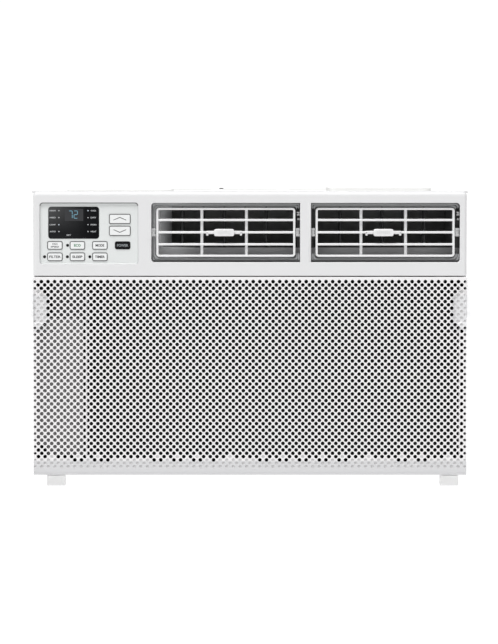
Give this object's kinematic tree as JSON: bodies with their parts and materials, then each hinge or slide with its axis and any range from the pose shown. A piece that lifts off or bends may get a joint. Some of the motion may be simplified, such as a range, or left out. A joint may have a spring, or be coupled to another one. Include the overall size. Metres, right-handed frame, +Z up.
{
  "type": "window air conditioner",
  "caption": "Window air conditioner: hinged perforated intake grille, control panel, tilting louver cassettes over steering vanes, and a louvered metal cabinet.",
  "frame": {"origin": "on the ground, below the middle of the unit's outline", "axes": "+Z up; the front with the grille and louvers faces -Y; +X runs to the right as seen from the front"},
  "size_m": [0.6694, 0.67, 0.4505],
  "materials": {
    "white_plastic": "fine satin grain",
    "grille_plastic": "fine satin grain",
    "duct_plastic": "matt",
    "vane_plastic": "matt",
    "panel_plastic": "satin",
    "key_plastic": "satin",
    "black_key": "gloss",
    "display_lens": "high gloss",
    "light_pipe": "gloss",
    "circuit_board": "solder mask",
    "filter_mesh": "woven screen in a plastic frame",
    "cabinet_paint": "powder coat",
    "galvanised": "spangled zinc",
    "steel": "ground",
    "fins": "fin stock",
    "copper": "drawn copper tube",
    "black_paint": "semi-gloss",
    "rubber": "matt",
    "fan_plastic": "matt",
    "foot_plastic": "satin"
  },
  "bodies": {
    "root": {"fascia": "white_plastic", "control_overlay": "panel_plastic", "display_window": "display_lens", "indicator_lights": "light_pipe", "control_board": "circuit_board", "outlet_duct": "duct_plastic", "blower_scroll": "fan_plastic", "fan_motor": "galvanised", "motor_bracket": "galvanised", "partition": "galvanised", "condenser_shroud": "fan_plastic", "condenser_coil": "fins", "evaporator_coil": "fins", "compressor": "black_paint", "compressor_grommets": "rubber", "accumulator": "black_paint", "refrigerant_tubes": "copper", "capillary_tube": "copper", "control_box": "galvanised", "run_capacitor": "steel", "cord_gland": "rubber", "cabinet": "cabinet_paint", "cabinet_screws": "steel", "base_pan": "cabinet_paint", "drain_spout": "rubber", "feet": "foot_plastic", "rear_guard": "cabinet_paint"},
    "grille": {"front_grille": "grille_plastic", "air_filter": "filter_mesh"},
    "fan_rotor": {"motor_shaft": "steel", "blower_wheel": "fan_plastic", "condenser_fan": "fan_plastic"},
    "button_up": {"button_up": "key_plastic"},
    "button_down": {"button_down": "key_plastic"},
    "button_power": {"button_power": "black_key"},
    "button_fan_speed": {"button_fan_speed": "key_plastic"},
    "button_eco": {"button_eco": "key_plastic"},
    "button_mode": {"button_mode": "key_plastic"},
    "button_filter": {"button_filter": "key_plastic"},
    "button_sleep": {"button_sleep": "key_plastic"},
    "button_timer": {"button_timer": "key_plastic"},
    "louver_left": {"louver_left": "white_plastic"},
    "thumb_tab_left": {"thumb_tab_left": "white_plastic"},
    "vane_link_left": {"vane_link_left": "vane_plastic"},
    "vane_left_1": {"vane_left_1": "vane_plastic"},
    "vane_left_2": {"vane_left_2": "vane_plastic"},
    "vane_left_3": {"vane_left_3": "vane_plastic"},
    "vane_left_4": {"vane_left_4": "vane_plastic"},
    "vane_left_5": {"vane_left_5": "vane_plastic"},
    "louver_right": {"louver_right": "white_plastic"},
    "thumb_tab_right": {"thumb_tab_right": "white_plastic"},
    "vane_link_right": {"vane_link_right": "vane_plastic"},
    "vane_right_1": {"vane_right_1": "vane_plastic"},
    "vane_right_2": {"vane_right_2": "vane_plastic"},
    "vane_right_3": {"vane_right_3": "vane_plastic"},
    "vane_right_4": {"vane_right_4": "vane_plastic"},
    "vane_right_5": {"vane_right_5": "vane_plastic"}
  },
  "joints": [
    {"name": "grille_hinge", "type": "hinge", "parent": "root", "child": "grille", "pos_m": [0, -0.328, 0.023], "axis": [1, 0, 0], "range_deg": [0, 35]},
    {"name": "button_up_press", "type": "slide", "parent": "root", "child": "button_up", "axis": [0, 1, 0], "range_m": [0, 0.0006], "stiffness_N_per_m": 500, "springref_m": -0.0006},
    {"name": "button_down_press", "type": "slide", "parent": "root", "child": "button_down", "axis": [0, 1, 0], "range_m": [0, 0.0006], "stiffness_N_per_m": 500, "springref_m": -0.0006},
    {"name": "button_power_press", "type": "slide", "parent": "root", "child": "button_power", "axis": [0, 1, 0], "range_m": [0, 0.0006], "stiffness_N_per_m": 500, "springref_m": -0.0006},
    {"name": "button_fan_speed_press", "type": "slide", "parent": "root", "child": "button_fan_speed", "axis": [0, 1, 0], "range_m": [0, 0.0006], "stiffness_N_per_m": 500, "springref_m": -0.0006},
    {"name": "button_eco_press", "type": "slide", "parent": "root", "child": "button_eco", "axis": [0, 1, 0], "range_m": [0, 0.0006], "stiffness_N_per_m": 500, "springref_m": -0.0006},
    {"name": "button_mode_press", "type": "slide", "parent": "root", "child": "button_mode", "axis": [0, 1, 0], "range_m": [0, 0.0006], "stiffness_N_per_m": 500, "springref_m": -0.0006},
    {"name": "button_filter_press", "type": "slide", "parent": "root", "child": "button_filter", "axis": [0, 1, 0], "range_m": [0, 0.0006], "stiffness_N_per_m": 500, "springref_m": -0.0006},
    {"name": "button_sleep_press", "type": "slide", "parent": "root", "child": "button_sleep", "axis": [0, 1, 0], "range_m": [0, 0.0006], "stiffness_N_per_m": 500, "springref_m": -0.0006},
    {"name": "button_timer_press", "type": "slide", "parent": "root", "child": "button_timer", "axis": [0, 1, 0], "range_m": [0, 0.0006], "stiffness_N_per_m": 500, "springref_m": -0.0006},
    {"name": "louver_left_tilt", "type": "hinge", "parent": "root", "child": "louver_left", "pos_m": [-0.03645, -0.322, 0.3851], "axis": [1, 0, 0], "range_deg": [-20, 20]},
    {"name": "thumb_tab_left_slide", "type": "slide", "parent": "louver_left", "child": "thumb_tab_left", "axis": [1, 0, 0], "range_m": [-0.008, 0.008]},
    {"name": "vane_left_1_turn", "type": "hinge", "parent": "root", "child": "vane_left_1", "pos_m": [-0.10305, -0.276, 0.39], "axis": [0, 0, 1], "range_deg": [-23.5, 23.5]},
    {"name": "vane_left_2_turn", "type": "hinge", "parent": "root", "child": "vane_left_2", "pos_m": [-0.07105, -0.276, 0.39], "axis": [0, 0, 1], "range_deg": [-23.5, 23.5]},
    {"name": "vane_left_3_turn", "type": "hinge", "parent": "root", "child": "vane_left_3", "pos_m": [-0.03905, -0.276, 0.39], "axis": [0, 0, 1], "range_deg": [-23.5, 23.5]},
    {"name": "vane_left_4_turn", "type": "hinge", "parent": "root", "child": "vane_left_4", "pos_m": [-0.00705, -0.276, 0.39], "axis": [0, 0, 1], "range_deg": [-23.5, 23.5]},
    {"name": "vane_left_5_turn", "type": "hinge", "parent": "root", "child": "vane_left_5", "pos_m": [0.02495, -0.276, 0.39], "axis": [0, 0, 1], "range_deg": [-23.5, 23.5]},
    {"name": "vane_link_left_shift", "type": "slide", "parent": "root", "child": "vane_link_left", "axis": [1, 0, 0], "range_m": [-0.005, 0.005]},
    {"name": "louver_right_tilt", "type": "hinge", "parent": "root", "child": "louver_right", "pos_m": [0.2046, -0.322, 0.3851], "axis": [1, 0, 0], "range_deg": [-20, 20]},
    {"name": "thumb_tab_right_slide", "type": "slide", "parent": "louver_right", "child": "thumb_tab_right", "axis": [1, 0, 0], "range_m": [-0.008, 0.008]},
    {"name": "vane_right_1_turn", "type": "hinge", "parent": "root", "child": "vane_right_1", "pos_m": [0.138, -0.276, 0.39], "axis": [0, 0, 1], "range_deg": [-23.5, 23.5]},
    {"name": "vane_right_2_turn", "type": "hinge", "parent": "root", "child": "vane_right_2", "pos_m": [0.17, -0.276, 0.39], "axis": [0, 0, 1], "range_deg": [-23.5, 23.5]},
    {"name": "vane_right_3_turn", "type": "hinge", "parent": "root", "child": "vane_right_3", "pos_m": [0.202, -0.276, 0.39], "axis": [0, 0, 1], "range_deg": [-23.5, 23.5]},
    {"name": "vane_right_4_turn", "type": "hinge", "parent": "root", "child": "vane_right_4", "pos_m": [0.234, -0.276, 0.39], "axis": [0, 0, 1], "range_deg": [-23.5, 23.5]},
    {"name": "vane_right_5_turn", "type": "hinge", "parent": "root", "child": "vane_right_5", "pos_m": [0.266, -0.276, 0.39], "axis": [0, 0, 1], "range_deg": [-23.5, 23.5]},
    {"name": "vane_link_right_shift", "type": "slide", "parent": "root", "child": "vane_link_right", "axis": [1, 0, 0], "range_m": [-0.005, 0.005]},
    {"name": "fan_spin", "type": "hinge", "parent": "root", "child": "fan_rotor", "pos_m": [0.04, 0, 0.19], "axis": [0, 1, 0], "continuous": true}
  ],
  "couplings": [
    {"joint": "vane_left_1_turn", "follows": "thumb_tab_left_slide", "rad_per_m": 50},
    {"joint": "vane_left_2_turn", "follows": "thumb_tab_left_slide", "rad_per_m": 50},
    {"joint": "vane_left_3_turn", "follows": "thumb_tab_left_slide", "rad_per_m": 50},
    {"joint": "vane_left_4_turn", "follows": "thumb_tab_left_slide", "rad_per_m": 50},
    {"joint": "vane_left_5_turn", "follows": "thumb_tab_left_slide", "rad_per_m": 50},
    {"joint": "vane_link_left_shift", "follows": "thumb_tab_left_slide", "ratio": -0.6},
    {"joint": "vane_right_1_turn", "follows": "thumb_tab_right_slide", "rad_per_m": 50},
    {"joint": "vane_right_2_turn", "follows": "thumb_tab_right_slide", "rad_per_m": 50},
    {"joint": "vane_right_3_turn", "follows": "thumb_tab_right_slide", "rad_per_m": 50},
    {"joint": "vane_right_4_turn", "follows": "thumb_tab_right_slide", "rad_per_m": 50},
    {"joint": "vane_right_5_turn", "follows": "thumb_tab_right_slide", "rad_per_m": 50},
    {"joint": "vane_link_right_shift", "follows": "thumb_tab_right_slide", "ratio": -0.6}
  ]
}
